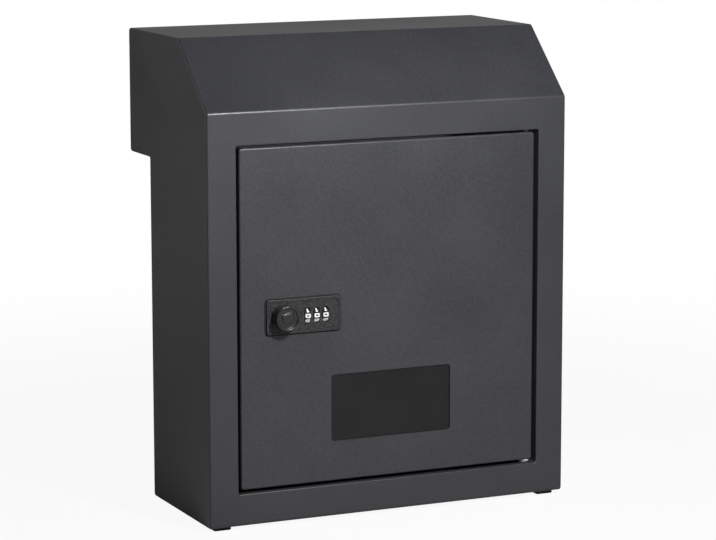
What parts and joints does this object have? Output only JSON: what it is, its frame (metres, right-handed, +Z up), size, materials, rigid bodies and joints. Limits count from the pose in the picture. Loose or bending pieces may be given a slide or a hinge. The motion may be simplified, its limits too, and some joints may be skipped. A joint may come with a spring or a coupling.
{
  "type": "through-wall mailbox",
  "caption": "Sheet-steel through-wall mailbox with a sloped hood, a rear deposit sleeve and a pivoting door that has a viewing window and a dial combination lock.",
  "frame": {"origin": "centre of the wall bolt pattern, on the wall plane", "axes": "+X right as seen from the front, +Y into the wall, +Z up"},
  "size_m": [0.318, 0.1829, 0.3912],
  "materials": {
    "cabinet_powder_coat": "fine-textured charcoal powder coat",
    "door_powder_coat": "fine-textured charcoal powder coat",
    "lock_black": "satin black die casting",
    "knob_black": "satin black die casting",
    "dial_black": "matt black moulding with plain white numbers",
    "smoked_acrylic": "dark smoked acrylic sheet",
    "bush_nylon": "natural white nylon",
    "black_rubber": "moulded black rubber",
    "zinc_steel": "bright zinc plate",
    "spring_steel": "bare spring strip"
  },
  "bodies": {
    "cabinet": {"front_frame": "cabinet_powder_coat", "hood_panel": "cabinet_powder_coat", "back_panel": "cabinet_powder_coat", "bottom_panel": "cabinet_powder_coat", "side_panel_left": "cabinet_powder_coat", "side_panel_right": "cabinet_powder_coat", "anti_fishing_baffle": "cabinet_powder_coat", "door_stops": "cabinet_powder_coat", "lower_hinge_bush": "bush_nylon", "upper_hinge_bush": "bush_nylon", "door_bumpers": "black_rubber", "rubber_feet": "black_rubber", "foot_screws": "zinc_steel", "foot_nuts": "zinc_steel"},
    "door": {"door_panel": "door_powder_coat", "lower_pivot_pin": "zinc_steel", "upper_pivot_pin": "zinc_steel", "window_pane": "smoked_acrylic", "window_studs": "zinc_steel", "window_push_nuts": "zinc_steel", "lock_housing": "lock_black", "lock_back_cover": "lock_black", "lock_cover_screws": "zinc_steel", "lock_clamp_bracket": "zinc_steel", "lock_clamp_screws": "zinc_steel", "dial_axle": "zinc_steel", "dial_detent_spring": "spring_steel"},
    "knob": {"lock_knob": "knob_black", "lock_spindle": "zinc_steel", "lock_cam": "zinc_steel", "cam_screw": "zinc_steel"},
    "dial_1": {"dial_wheel_1": "dial_black"},
    "dial_2": {"dial_wheel_2": "dial_black"},
    "dial_3": {"dial_wheel_3": "dial_black"}
  },
  "joints": [
    {"name": "door_hinge", "type": "hinge", "parent": "cabinet", "child": "door", "pos_m": [0.1265, -0.119, 0.017], "axis": [0, 0, 1], "range_deg": [0, 100]},
    {"name": "knob_turn", "type": "hinge", "parent": "door", "child": "knob", "pos_m": [-0.09435, -0.12, 0.0178], "axis": [0, 1, 0], "range_deg": [0, 90]},
    {"name": "dial_1_turn", "type": "hinge", "parent": "door", "child": "dial_1", "pos_m": [-0.07335, -0.1205, 0.0172], "axis": [1, 0, 0], "continuous": true},
    {"name": "dial_2_turn", "type": "hinge", "parent": "door", "child": "dial_2", "pos_m": [-0.06555, -0.1205, 0.0172], "axis": [1, 0, 0], "continuous": true},
    {"name": "dial_3_turn", "type": "hinge", "parent": "door", "child": "dial_3", "pos_m": [-0.05775, -0.1205, 0.0172], "axis": [1, 0, 0], "continuous": true}
  ]
}
